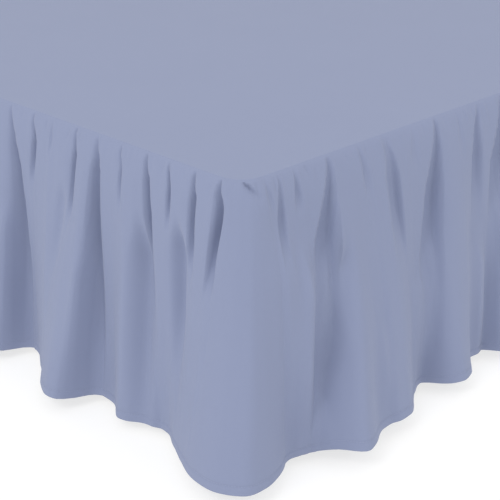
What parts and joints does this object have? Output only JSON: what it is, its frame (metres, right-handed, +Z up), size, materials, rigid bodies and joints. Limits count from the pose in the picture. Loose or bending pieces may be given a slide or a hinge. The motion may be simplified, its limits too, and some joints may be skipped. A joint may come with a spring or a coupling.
{
  "type": "bed skirt on bed base",
  "caption": "Plain gathered bed skirt on a plain double bed base: a flat deck lies on the base, and its frill falls in uneven folds round the foot and the long sides.",
  "frame": {"origin": "on the floor, under the middle of the whole object's box", "axes": "+Z up, +Y along the bed towards its head end, X across the bed"},
  "size_m": [1.593, 2.0038, 0.3948],
  "materials": {
    "skirt_cloth": "matte",
    "ticking": "matte",
    "glide": "satin"
  },
  "bodies": {
    "root": {"deck": "skirt_cloth", "frill_foot": "skirt_cloth", "frill_left": "skirt_cloth", "frill_right": "skirt_cloth", "bed_base": "ticking", "glide_1": "glide", "glide_2": "glide", "glide_3": "glide", "glide_4": "glide", "glide_5": "glide", "glide_6": "glide"}
  },
  "joints": []
}
